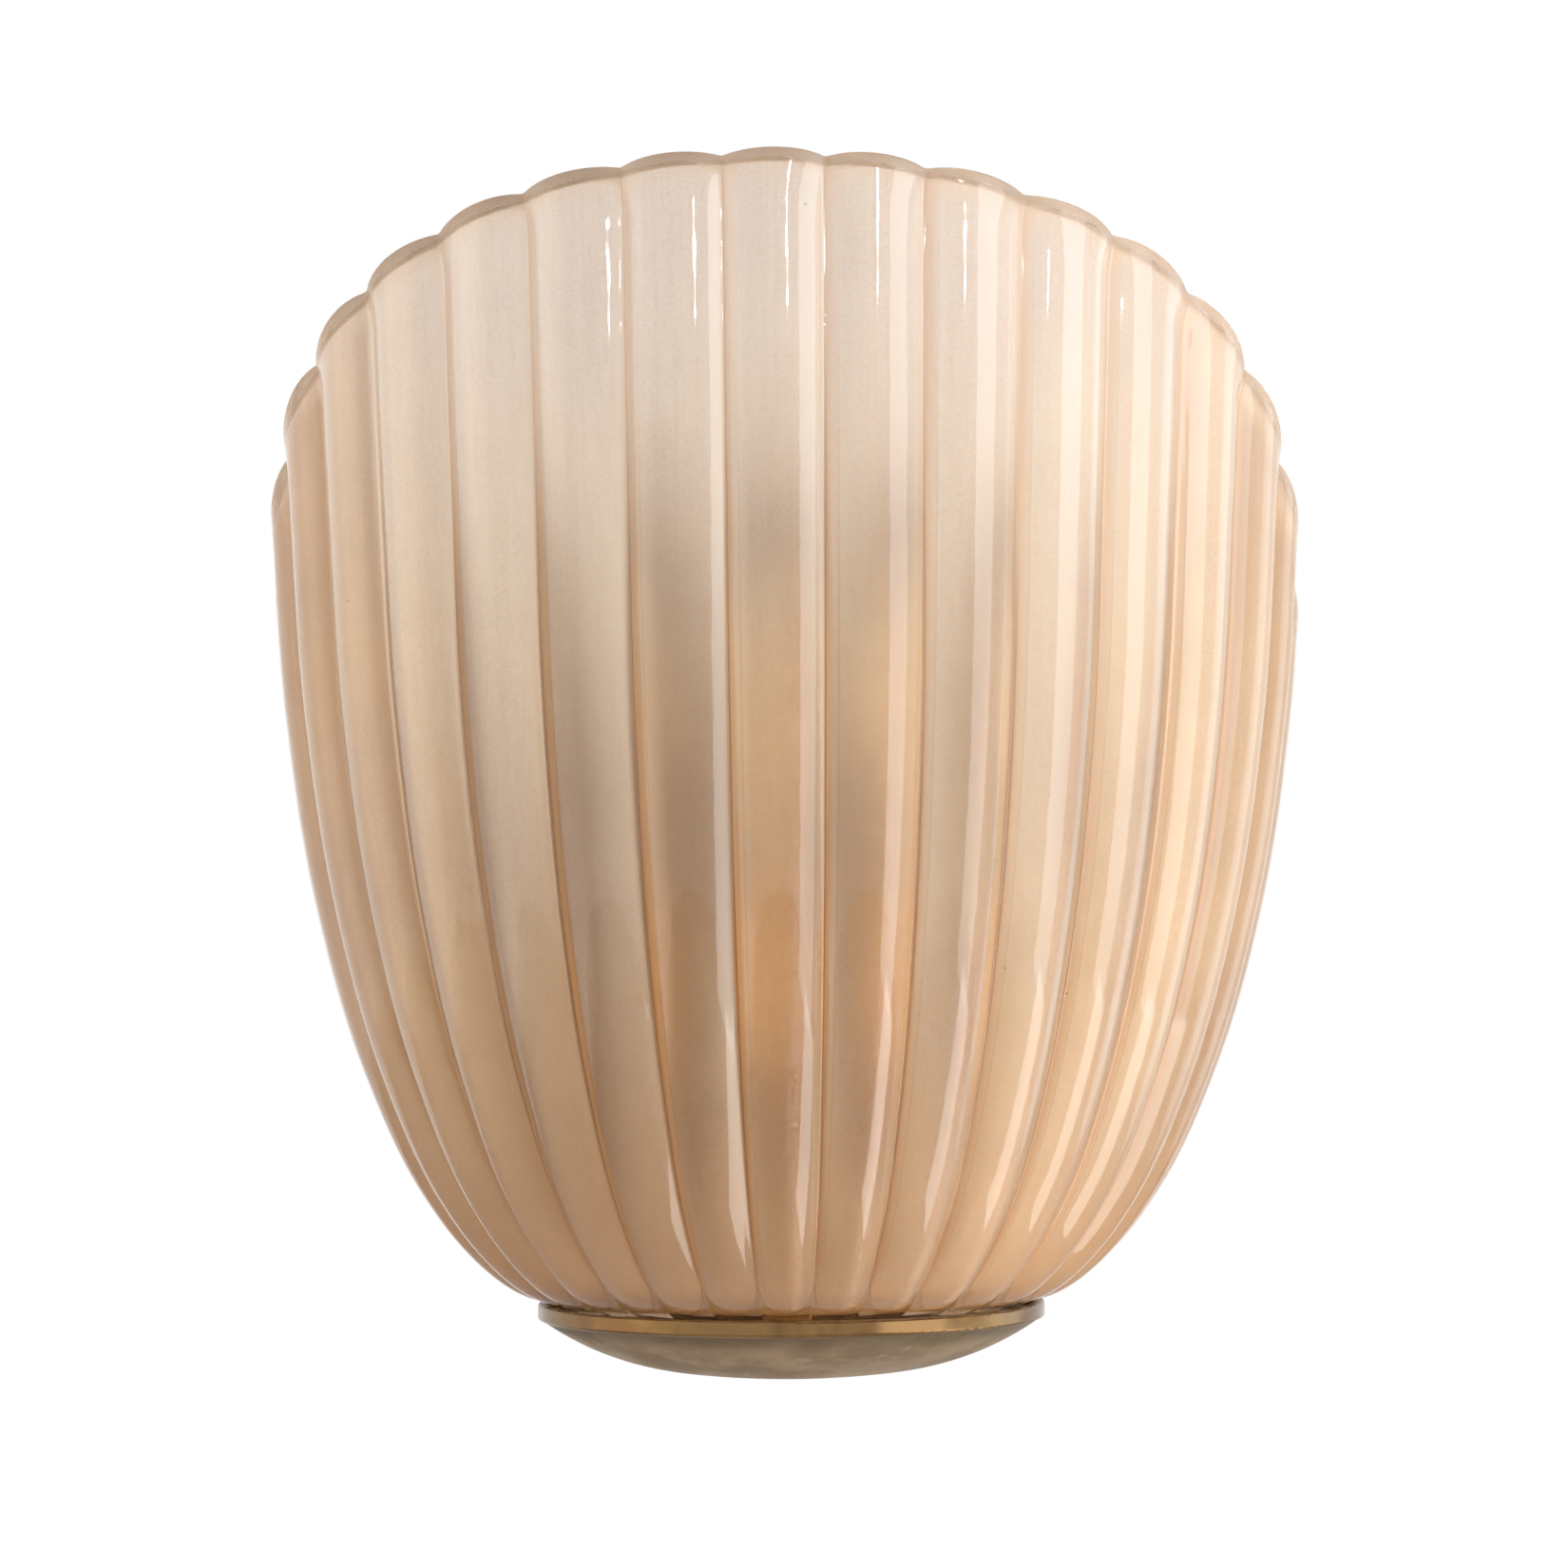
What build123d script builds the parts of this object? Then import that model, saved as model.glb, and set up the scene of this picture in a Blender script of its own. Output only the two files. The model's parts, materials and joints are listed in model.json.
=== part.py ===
from build123d import *
import os
from math import atan2, cos, hypot, radians, sin, sqrt

os.makedirs("parts", exist_ok=True)

# Shell-shaped wall light: a fluted glass shade stands in a shallow brass dish, which a tube holds off the wall.
# Millimetres, +Z up, room at -Y. The origin is on the wall, midway between the two wall-screw slots.
# "Lamp frame" below means: origin on the upright lamp axis at the height of the dish's lip.

# ---- driving dimensions ----
lip_drop = 120.0  # wall screws down to the dish's lip
back_gap = 7.0  # between the wall plate and the glass's back edge
thread_gap = 0.05  # radial, between a modelled shank and its hole
body_gap = 0.3  # between pieces that lift past each other

# glass shade, heights above the dish's lip
flute_count = 32
flute_depth = 2.6  # groove below crown
flute_turn = -1.1  # degrees that the front flute stands off centre
glass_wall = 5.0  # at a crown
neck_radius = 54.5
neck_wall = 4.5
neck_sink = 3.5  # neck's end below the lip
shoulder = [  # height, crown radius, share of the groove's depth
    (-1.6, 56.0, 0.0),
    (0.6, 61.0, 0.15),
    (2.0, 65.4, 0.4),
    (4.6, 70.3, 0.65),
    (8.6, 75.5, 0.85),
    (15.5, 82.3, 1.0),
]
side = [(27.0, 90.7), (58.0, 105.3), (97.0, 116.4), (145.0, 123.8), (195.0, 127.0), (282.0, 130.6)]
rim_front = 273.0
rim_back = 19.5
rim_bow = 460.0  # radius of the arch that the cut follows, seen from the side
rim_turn = -2.0  # degrees that the cut is turned about the lamp axis

# brass dish
lip_radius = 62.3
lip_band = 4.0  # height of the upright band
lip_round = 0.7
lip_step = 0.9  # band stands out from the bowl by this
dish_depth = 18.5
dish_wall = 1.6
lip_wall = 2.2
dish_floor_bow = 220.0
dish_floor_radius = 30.0
felt_thick = 1.0
felt_width = 6.0

# hub in the dish
hub_radius = 12.0
hub_top = -3.0  # below the lip
hub_flange_thick = 3.0
pad_top = -15.0
ear_reach = 17.5
ear_radius = 5.5
hub_screw_radius = 1.5
hub_screw_length = 5.6
screw_head_radius = 2.8
screw_head_height = 2.0

# bracket arm
arm_radius = 4.0
arm_wall = 1.0
arm_drop = 10.0  # arm's axis below the lip
arm_end_inset = 5.5  # arm stops short of the lamp axis
wire_slot_length = 3.6
wire_slot_width = 4.8
collar_radius = 10.0
collar_nose = 6.5
collar_length = 6.0
grub_radius = 1.5
boss_radius = 8.0
boss_length = 4.0

# wall plate and strap
plate_top_radius = 84.0
plate_foot_radius = 20.0
plate_foot_rise = 4.0  # centre of the plate's foot above the arm
plate_depth = 12.0
plate_sheet = 1.2
plate_round = 3.0
strap_length = 150.0
strap_width = 24.0
strap_thick = 2.5
leg_width = 22.0
leg_foot = 8.0  # leg's end below the arm
slot_spacing = 60.0
slot_length = 12.0
slot_width = 4.5
stud_spacing = 116.0
stud_radius = 2.0
stud_length = 18.5
stud_nut_flats = 7.0
stud_nut_thick = 3.2
dome_nut_radius = 6.0
dome_nut_length = 9.0
dome_nut_bore = 7.5

# stem
stem_radius = 5.0
stem_bore = 3.4
stem_nut_flats = 17.0
stem_nut_thick = 3.0
stem_engage = 4.0  # thread in the hub
spacer_radius = 7.0
spacer_length = 56.0

# lampholder
holder_radius = 20.0
holder_sheet = 0.8
cap_height = 17.0
cap_round = 9.0
stem_in_cap = 4.0
skirt_height = 33.0
skirt_overlap = 5.0
skirt_lip_radius = 17.0
core_radius = 17.5
core_height = 12.0
core_flange = 1.6
core_well_radius = 9.0
core_well_depth = 5.0
shell_radius = 14.1
shell_sheet = 0.6
shell_height = 23.0
contact_width = 6.0
contact_sheet = 0.6
contact_rise = 0.8  # spring's top above the core

# bulb
globe_radius = 30.0
globe_wall = 1.0
bulb_length = 105.0
globe_swell = 13.5  # below the globe's centre, where the neck's curve meets it
screw_cap_radius = 13.1
screw_cap_length = 23.0
screw_cap_sheet = 0.8
insulator_height = 2.6
insulator_foot = 6.0
tip_radius = 4.8
tip_height = 1.4
tip_lift = 0.4  # above the contact spring

# wiring
block_length = 26.0
block_height = 14.0
block_depth = 7.6
pole_pitch = 8.0
sleeve_radius = 2.3
sleeve_bore = 1.3
clamp_hole_radius = 1.4
clamp_hole_spread = 8.0
fixing_radius = 1.4
wire_radius = 0.9
wire_spread = 1.1  # each lead's offset from the arm's middle
wire_bend = 3.2
earth_from_stud = 12.0  # earth screw to the stud beside it
earth_radius = 2.0
earth_head = 3.6
earth_head_height = 2.0
washer_radius = 4.8
washer_thick = 1.0
earth_drop = 20.0


def crown_radius(height):
    """Crown radius of the shade at a height, between the listed sections."""
    listed = [(z, r) for z, r, share in shoulder] + side
    for (low, r_low), (high, r_high) in zip(listed, listed[1:]):
        if height <= high:
            return r_low + (r_high - r_low) * (height - low) / (high - low)
    return side[-1][1]


# ---- places worked out from them ----
lamp_reach = plate_depth + back_gap + crown_radius(rim_back)  # wall to lamp axis
lamp = Pos(0, -lamp_reach, -lip_drop)
arm_z = -lip_drop - arm_drop
plate_front = -plate_depth
plate_foot_drop = -arm_z - plate_foot_rise
ledge_z = -neck_sink - felt_thick
spacer_foot = hub_top + stem_nut_thick
holder_z = spacer_foot + spacer_length
cap_top = holder_z + cap_height
core_top = cap_top + core_flange
core_z = core_top - core_height
spring_foot = core_top - core_well_depth
spring_top = core_top + contact_rise
tip_z = spring_top + tip_lift
insulator_z = tip_z + tip_height
screw_cap_foot = insulator_z + insulator_height
screw_cap_top = screw_cap_foot + screw_cap_length
globe_z = tip_z + bulb_length - globe_radius
fixing_x = pole_pitch / 2
earth_x = earth_from_stud - stud_spacing / 2


def save(shape, name):
    shape.label = name
    export_step(shape, f"parts/{name}.step")


def rod(radius, start, end):
    """Upright cylinder between two heights."""
    return Pos(0, 0, start) * Cylinder(radius, end - start, align=(Align.CENTER, Align.CENTER, Align.MIN))


def tube(radius, bore, start, end):
    return rod(radius, start, end) - rod(bore, start, end)


def level_rod(radius, start, end, x=0.0, z=0.0):
    """Cylinder along Y, out from the wall, between two distances from it."""
    return Pos(x, -start, z) * Rot(90, 0, 0) * rod(radius, 0, end - start)


def hex_nut(flats, bore, thick):
    return extrude(RegularPolygon(flats / 2, 6, major_radius=False) - Circle(bore), thick)


def wire_along(points, bend, radius):
    """Round wire through straight runs joined by arcs."""
    path = FilletPolyline(*points, radius=bend)
    start = Plane(origin=path @ 0, z_dir=path % 0)
    return sweep(start * Circle(radius), path=path)


# ---- glass shade (lamp frame) ----
def scalloped(height, radius, depth):
    """Closed outline of outward arcs, one for each flute, that meet in grooves."""
    step = 360 / flute_count
    first = flute_turn - 90 - step / 2
    groove = radius - depth

    def point(r, degrees):
        return Vector(r * cos(radians(degrees)), r * sin(radians(degrees)), height)

    arcs = [
        ThreePointArc(
            point(groove, first + i * step),
            point(radius, first + (i + 0.5) * step),
            point(groove, first + (i + 1) * step),
        )
        for i in range(flute_count)
    ]
    return Face(Wire(arcs))


def inset(points, distance):
    """Points of a profile moved square to it, towards the axis."""
    moved = []
    for i, (height, radius) in enumerate(points):
        z0, r0 = points[max(i - 1, 0)]
        z1, r1 = points[min(i + 1, len(points) - 1)]
        run = hypot(z1 - z0, r1 - r0)
        moved.append((height + distance * (r1 - r0) / run, radius - distance * (z1 - z0) / run))
    return moved


side_sections = [scalloped(z, r, flute_depth) for z, r in side]
turned_in = [scalloped(-neck_sink, neck_radius, 0.0)]
turned_in += [scalloped(z, r, share * flute_depth) for z, r, share in shoulder]
fluted_body = loft(side_sections) + loft([*turned_in, side_sections[0]], ruled=True)

bore_radius = neck_radius - neck_wall
inner_points = inset([(z, r) for z, r, share in shoulder] + side, glass_wall)
inner_points = [(z, r) for z, r in inner_points if r > bore_radius]
inner_foot, inner_head = inner_points[0], inner_points[-1]
inner_curve = Spline([(r, z) for z, r in inner_points])
inner_edge = Polyline(
    (inner_head[1], inner_head[0]), (0, inner_head[0]), (0, inner_foot[0]), (inner_foot[1], inner_foot[0])
)
hollow = revolve(Plane.XZ * make_face(Wire([inner_curve, *inner_edge.edges()])), Axis.Z)
side_top, widest = side[-1]
open_top = rod(inner_head[1], inner_head[0], side_top + glass_wall)

front = (-crown_radius(rim_front), rim_front)
back = (crown_radius(rim_back), rim_back)
chord = hypot(back[0] - front[0], back[1] - front[1])
fall = atan2(back[1] - front[1], back[0] - front[0])
sink = sqrt(rim_bow**2 - (chord / 2) ** 2)
arch_y = (front[0] + back[0]) / 2 + sink * sin(fall)
arch_z = (front[1] + back[1]) / 2 - sink * cos(fall)
arch = Rot(0, 0, rim_turn) * Pos(0, arch_y, arch_z) * Rot(0, 90, 0) * Cylinder(rim_bow, 2 * (widest + glass_wall))

bore = rod(bore_radius, -neck_sink, inner_foot[0])
shade = (fluted_body - hollow - open_top - bore) & arch
save(lamp * shade, "glass_shade")


# ---- brass dish (lamp frame) ----
def bowl(depth, edge_radius, edge_z):
    """Solid bowl: a nearly flat floor arc that turns tangent into a rounder side arc."""
    floor_z = dish_floor_bow - depth
    turn = dish_floor_radius / dish_floor_bow
    turn_point = (dish_floor_radius, floor_z - dish_floor_bow * sqrt(1 - turn**2))
    floor_middle = (dish_floor_radius / 2, floor_z - sqrt(dish_floor_bow**2 - (dish_floor_radius / 2) ** 2))
    floor = ThreePointArc((0, -depth), floor_middle, turn_point)
    rise = TangentArc(turn_point, (edge_radius, edge_z), tangent=floor % 1)
    top = Polyline((edge_radius, edge_z), (0, edge_z), (0, -depth))
    return revolve(Plane.XZ * make_face(Wire([floor, rise, *top.edges()])), Axis.Z)


def ear_flange(thick):
    """Round flange with an ear on each side for a screw."""
    ears = SlotCenterToCenter(2 * ear_reach, 2 * ear_radius)
    return extrude(ears + Circle(hub_radius), thick)


band = rod(lip_radius, -lip_band, 0)
band = fillet(band.edges().filter_by(GeomType.CIRCLE), lip_round)
ledge_radius = neck_radius - felt_width + body_gap
dish = band + bowl(dish_depth, lip_radius - lip_step, -lip_band)
dish -= rod(lip_radius - lip_wall, ledge_z, 0)
well_depth = dish_depth - dish_wall
dish -= bowl(well_depth, lip_radius - lip_step - dish_wall, ledge_z) & rod(ledge_radius, -dish_depth, ledge_z)
dish += Pos(0, 0, pad_top - dish_wall) * ear_flange(dish_wall)
ear_places = [Pos(-ear_reach, 0, 0), Pos(ear_reach, 0, 0)]
hub_screw_tip = pad_top + hub_flange_thick - hub_screw_length
for place in ear_places:
    dish -= place * rod(hub_screw_radius + thread_gap, hub_screw_tip, pad_top)
arm_way = Rot(-90, 0, 0) * rod(arm_radius + body_gap, hub_radius, lamp_reach)
dish -= Pos(0, 0, -arm_drop) * arm_way
save(lamp * dish, "brass_dish")

felt = tube(neck_radius + body_gap, ledge_radius, ledge_z, -neck_sink)
save(lamp * felt, "felt_ring")

# ---- hub and its screws (lamp frame) ----
hub = rod(hub_radius, pad_top, hub_top) + Pos(0, 0, pad_top) * ear_flange(hub_flange_thick)
hub -= rod(stem_radius + thread_gap, -arm_drop - arm_radius + arm_wall, hub_top)
hub -= Pos(0, 0, -arm_drop) * Rot(-90, 0, 0) * rod(arm_radius + thread_gap, 0, hub_radius)
for place in ear_places:
    hub -= place * rod(hub_screw_radius + thread_gap, pad_top, pad_top + hub_flange_thick)
save(lamp * hub, "dish_hub")

ear_top = pad_top + hub_flange_thick
hub_screw = rod(hub_screw_radius, hub_screw_tip, ear_top) + rod(
    screw_head_radius, ear_top, ear_top + screw_head_height
)
save(lamp * Compound([place * hub_screw for place in ear_places]), "hub_screws")

# ---- stem (lamp frame) ----
stem_top = holder_z + stem_in_cap
stem = tube(stem_radius, stem_bore, hub_top - stem_engage, stem_top)
save(lamp * stem, "threaded_stem")
nut = Pos(0, 0, hub_top) * hex_nut(stem_nut_flats, stem_radius + thread_gap, stem_nut_thick)
save(lamp * nut, "stem_nut")
spacer = tube(spacer_radius, stem_radius + thread_gap, spacer_foot, holder_z)
save(lamp * spacer, "spacer_tube")


# ---- lampholder (lamp frame) ----
def domed_cap(radius, height, rounding):
    body = rod(radius, 0, height)
    return fillet(body.edges().filter_by(GeomType.CIRCLE).sort_by(Axis.Z)[0], rounding)


cap = domed_cap(holder_radius, cap_height, cap_round)
cap -= Pos(0, 0, holder_sheet) * domed_cap(holder_radius - holder_sheet, cap_height, cap_round - holder_sheet)
cap += rod(stem_radius + 2 * holder_sheet, 0, stem_in_cap)
cap -= rod(stem_radius + thread_gap, 0, stem_in_cap)
save(lamp * Pos(0, 0, holder_z) * cap, "holder_cap")

skirt_foot = cap_top - skirt_overlap
skirt_bore = holder_radius + thread_gap
skirt_top = skirt_foot + skirt_height
skirt = tube(skirt_bore + holder_sheet, skirt_bore, skirt_foot, skirt_top)
skirt += tube(skirt_bore + holder_sheet, skirt_lip_radius, skirt_top - holder_sheet, skirt_top)
save(lamp * skirt, "holder_skirt")

core = rod(core_radius, core_z, cap_top) + rod(holder_radius, cap_top, core_top)
core -= rod(core_well_radius, spring_foot, core_top)
core -= rod(stem_bore, core_z, cap_top)
save(lamp * core, "porcelain_core")

shell = tube(shell_radius, shell_radius - shell_sheet, core_top, core_top + shell_height)
shell += tube(shell_radius, core_well_radius, core_top, core_top + shell_sheet)
save(lamp * shell, "screw_shell")

spring_side = [
    (-core_well_radius, spring_foot),
    (-stem_bore - contact_sheet, spring_foot),
    (-stem_bore - contact_sheet, spring_foot + contact_sheet),
    (-core_well_radius + 2 * contact_sheet, spring_foot + contact_sheet),
    (0, spring_top - contact_sheet),
    (contact_width / 2, spring_top - contact_sheet),
    (contact_width / 2, spring_top),
    (0, spring_top),
    (-core_well_radius, spring_foot + contact_sheet),
]
spring = extrude(Plane.XZ * make_face(Polyline(*spring_side, close=True)), contact_width / 2, both=True)
spring = spring & rod(core_well_radius - thread_gap, spring_foot, spring_top)
save(lamp * spring, "centre_contact")

# ---- bulb (lamp frame) ----
neck_out = screw_cap_radius - screw_cap_sheet
swell_z = globe_z - globe_swell
swell_r = sqrt(globe_radius**2 - (globe_z - swell_z) ** 2)


def bulb_outline(inward):
    """Solid bulb: a straight neck, a hollow curve out, then the round globe."""
    r = globe_radius - inward
    join = (swell_r * r / globe_radius, globe_z + (swell_z - globe_z) * r / globe_radius)
    neck = (neck_out - inward, screw_cap_top)
    down = (neck[0], screw_cap_foot + screw_cap_sheet)
    crown = (0, globe_z + r)
    shoulder_point = (r, globe_z)
    flare = Spline(
        neck,
        join,
        tangents=[(0, 1), (-(join[1] - globe_z), join[0])],
    )
    globe = ThreePointArc(join, shoulder_point, crown)
    rest = Polyline(crown, (0, down[1]), down, neck)
    return revolve(Plane.XZ * make_face(Wire([flare, globe, *rest.edges()])), Axis.Z)


save(lamp * (bulb_outline(0.0) - bulb_outline(globe_wall)), "bulb_globe")

screw_cap = tube(screw_cap_radius, neck_out + thread_gap, screw_cap_foot, screw_cap_top)
screw_cap += tube(screw_cap_radius, insulator_foot, screw_cap_foot, screw_cap_foot + screw_cap_sheet)
save(lamp * screw_cap, "bulb_screw_cap")

insulator_edge = screw_cap_radius - 3 * screw_cap_sheet
insulator = Pos(0, 0, insulator_z) * Cone(
    insulator_foot, insulator_edge, insulator_height, align=(Align.CENTER, Align.CENTER, Align.MIN)
)
insulator += rod(insulator_foot - thread_gap, screw_cap_foot, screw_cap_foot + screw_cap_sheet)
save(lamp * insulator, "bulb_insulator")

tip = rod(tip_radius, tip_z, insulator_z)
tip = fillet(tip.edges().filter_by(GeomType.CIRCLE).sort_by(Axis.Z)[0], tip_height / 2)
save(lamp * tip, "bulb_contact")


# ---- wall plate ----
def plate_outline(inward):
    """Large circle over a small one, joined by their outer tangents."""
    big, small = plate_top_radius - inward, plate_foot_radius - inward
    lean = (big - small) / plate_foot_drop
    x, z = sqrt(1 - lean**2), -lean
    top = ThreePointArc((-big * x, big * z), (0, big), (big * x, big * z))
    foot_ends = [(s * small * x, small * z - plate_foot_drop) for s in (1, -1)]
    foot = ThreePointArc(foot_ends[0], (0, -small - plate_foot_drop), foot_ends[1])
    sides = [Line(top @ 1, foot @ 0), Line(foot @ 1, top @ 0)]
    return make_face(Wire([top, sides[0], foot, sides[1]]))


pan = extrude(Plane.XZ * plate_outline(0.0), plate_depth)
pan = fillet(pan.faces().sort_by(Axis.Y)[0].edges(), plate_round)
pan_hollow = extrude(Plane.XZ * plate_outline(plate_sheet), plate_depth - plate_sheet)
pan_hollow = fillet(pan_hollow.faces().sort_by(Axis.Y)[0].edges(), plate_round - plate_sheet)
pan -= pan_hollow
stud_places = [-stud_spacing / 2, stud_spacing / 2]
for x in stud_places:
    pan -= level_rod(stud_radius + body_gap, 0, plate_depth, x=x)
pan -= level_rod(arm_radius + thread_gap, 0, plate_depth, z=arm_z)
save(pan, "wall_plate")

# ---- wall strap, studs and nuts ----
strap_sketch = SlotOverall(strap_length, strap_width)
leg_end = arm_z - leg_foot
strap_sketch += Pos(0, leg_end / 2) * Rectangle(leg_width, -leg_end)
for x in (-slot_spacing / 2, slot_spacing / 2):
    strap_sketch -= Pos(x, 0) * SlotOverall(slot_length, slot_width)
for x in stud_places:
    strap_sketch -= Pos(x, 0) * Circle(stud_radius + thread_gap)
strap_sketch -= Pos(earth_x, 0) * Circle(earth_radius + thread_gap)
strap_sketch -= Pos(fixing_x, 0) * Circle(fixing_radius + thread_gap)
save(extrude(Plane.XZ * strap_sketch, strap_thick), "wall_strap")

studs = [level_rod(stud_radius, 0, stud_length, x=x) for x in stud_places]
save(Compound(studs), "plate_studs")
stud_nut = hex_nut(stud_nut_flats, stud_radius + thread_gap, stud_nut_thick)
stud_nuts = [Pos(x, -strap_thick, 0) * Rot(90, 0, 0) * stud_nut for x in stud_places]
save(Compound(stud_nuts), "stud_nuts")

dome = rod(dome_nut_radius, 0, dome_nut_length)
dome = fillet(dome.edges().filter_by(GeomType.CIRCLE).sort_by(Axis.Z)[-1], dome_nut_radius / 2)
dome -= rod(stud_radius + thread_gap, 0, dome_nut_bore)
dome_nuts = [Pos(x, plate_front, 0) * Rot(90, 0, 0) * dome for x in stud_places]
save(Compound(dome_nuts), "dome_nuts")

# ---- bracket arm and what holds it ----
arm_start = strap_thick + body_gap
arm_end = lamp_reach - arm_end_inset
arm = level_rod(arm_radius, arm_start, arm_end, z=arm_z)
arm -= level_rod(arm_radius - arm_wall, arm_start, arm_end, z=arm_z)
boss_front = strap_thick + boss_length
slot_middle = boss_front + wire_slot_length / 2 + body_gap
arm -= Pos(0, -slot_middle, arm_z + arm_radius) * Box(wire_slot_width, wire_slot_length, 2 * arm_radius)
save(arm, "bracket_arm")

boss = level_rod(boss_radius, strap_thick, boss_front, z=arm_z)
boss -= level_rod(arm_radius + thread_gap, strap_thick, boss_front, z=arm_z)
save(boss, "arm_boss")

collar = Pos(0, plate_front, arm_z) * Rot(90, 0, 0) * Cone(
    collar_radius, collar_nose, collar_length, align=(Align.CENTER, Align.CENTER, Align.MIN)
)
collar -= level_rod(arm_radius + thread_gap, plate_depth, plate_depth + collar_length, z=arm_z)
grub_place = Pos(0, plate_front - collar_length / 2, arm_z)
grub_way = grub_place * rod(grub_radius + thread_gap, -collar_radius, -arm_radius)
save(collar - grub_way, "arm_collar")
grub_end = (collar_radius + collar_nose) / 2 - grub_radius / 2
save(grub_place * rod(grub_radius, -grub_end, -arm_radius - thread_gap), "collar_grub_screw")

# ---- terminal block, wires and earth ----
block_middle = strap_thick + block_depth / 2
block = Pos(0, -block_middle, 0) * Box(block_length, block_depth, block_height)
block = fillet(block.edges().filter_by(Axis.Z), fixing_radius)
poles = [-pole_pitch, 0, pole_pitch]
sleeves = []
for x in poles:
    channel = Pos(x, -block_middle, 0) * rod(sleeve_radius, -block_height / 2, block_height / 2)
    sleeve_end = block_height / 2 - fixing_radius
    sleeve = Pos(x, -block_middle, 0) * tube(sleeve_radius, sleeve_bore, -sleeve_end, sleeve_end)
    block -= channel
    wells = [
        level_rod(clamp_hole_radius, block_middle, strap_thick + block_depth, x=x, z=z)
        for z in (-clamp_hole_spread / 2, clamp_hole_spread / 2)
    ]
    for well in wells:
        block -= well
        sleeve -= well
    sleeves.append(sleeve)
block -= level_rod(fixing_radius + thread_gap, strap_thick, strap_thick + block_depth, x=fixing_x)
save(block, "terminal_block")
save(Compound(sleeves), "terminal_sleeves")
save(level_rod(fixing_radius, 0, strap_thick + block_depth, x=fixing_x), "terminal_screw")

lead_y = -slot_middle
lead_foot = -block_height / 2 + fixing_radius
leads = []
for start_x, lead_x in ((0.0, -wire_spread), (pole_pitch, wire_spread)):
    route = [
        (start_x, -block_middle, lead_foot),
        (start_x, -block_middle, -lip_drop / 4),
        (lead_x, lead_y, -lip_drop / 2),
        (lead_x, lead_y, arm_z),
        (lead_x, -lamp_reach, arm_z),
        (lead_x, -lamp_reach, core_z - lip_drop),
    ]
    leads.append(wire_along(route, wire_bend, wire_radius))
save(Compound(leads), "lead_wires")

earth_y = -strap_thick - washer_thick - wire_radius - thread_gap
earth_route = [
    (-pole_pitch, -block_middle, lead_foot),
    (-pole_pitch, -block_middle, -earth_drop),
    (earth_x, earth_y, -earth_drop),
    (earth_x, earth_y, -earth_head - thread_gap),
]
save(wire_along(earth_route, wire_bend, wire_radius), "earth_wire")
washer_front = strap_thick + washer_thick
earth_screw = level_rod(earth_radius, 0, washer_front, x=earth_x)
earth_screw += level_rod(washer_radius, strap_thick, washer_front, x=earth_x)
earth_screw += level_rod(earth_head, washer_front, washer_front + earth_head_height, x=earth_x)
save(earth_screw, "earth_screw")
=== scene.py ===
import json
from math import atan2, cos, pi, radians, sin, sqrt

import bpy
import numpy as np
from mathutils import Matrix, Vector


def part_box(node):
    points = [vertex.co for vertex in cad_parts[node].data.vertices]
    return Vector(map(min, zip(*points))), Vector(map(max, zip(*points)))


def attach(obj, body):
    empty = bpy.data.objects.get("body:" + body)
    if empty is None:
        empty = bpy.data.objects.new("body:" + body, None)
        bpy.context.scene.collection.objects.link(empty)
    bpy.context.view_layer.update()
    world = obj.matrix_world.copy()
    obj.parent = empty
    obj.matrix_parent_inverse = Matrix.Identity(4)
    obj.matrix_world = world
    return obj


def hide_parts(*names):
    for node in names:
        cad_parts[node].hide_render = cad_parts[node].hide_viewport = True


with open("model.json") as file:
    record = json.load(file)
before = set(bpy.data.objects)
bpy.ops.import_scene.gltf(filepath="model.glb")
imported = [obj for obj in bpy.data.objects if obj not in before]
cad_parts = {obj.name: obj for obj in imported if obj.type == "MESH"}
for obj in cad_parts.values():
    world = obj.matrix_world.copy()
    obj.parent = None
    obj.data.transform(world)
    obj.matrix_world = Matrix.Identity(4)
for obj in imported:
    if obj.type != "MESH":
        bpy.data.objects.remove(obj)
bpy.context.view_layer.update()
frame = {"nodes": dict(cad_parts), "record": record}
nodes = frame["nodes"]

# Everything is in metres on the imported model's axes: the room lies at -Y, up is +Z.
# "Lamp heights" below count from the dish's lip, on the upright lamp axis.
dishLow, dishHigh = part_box("brass_dish")
axisY = (dishLow.y + dishHigh.y) / 2
lipZ = dishHigh.z
print("frame loaded:", len(nodes), "nodes")

view = {
    "distance": 1.69,  # camera to the lamp axis
    "eye": 0.133,  # above the lip
    "side": -0.0008,
    "lens": 157.6,
    "sensor": 36,
    "shiftY": -25 / 1650,  # horizon stands above the picture's middle
    "lean": 0.42,  # degrees
}
camData = bpy.data.cameras.new("camera")
camData.lens = view["lens"]
camData.sensor_width = view["sensor"]
camData.shift_y = view["shiftY"]
camera = bpy.data.objects.new("camera", camData)
camera.location = (view["side"], axisY - view["distance"], lipZ + view["eye"])
camera.rotation_euler = (pi / 2, radians(view["lean"]), 0)
bpy.context.scene.collection.objects.link(camera)
bpy.context.scene.camera = camera
bpy.context.scene.view_settings.view_transform = "Standard"
print("camera set")

# values that a noise seldom leaves, and a closer pair that makes its blotches crisper
noiseWide = (0.3, 0.7)
noiseClose = (0.35, 0.65)


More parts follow.
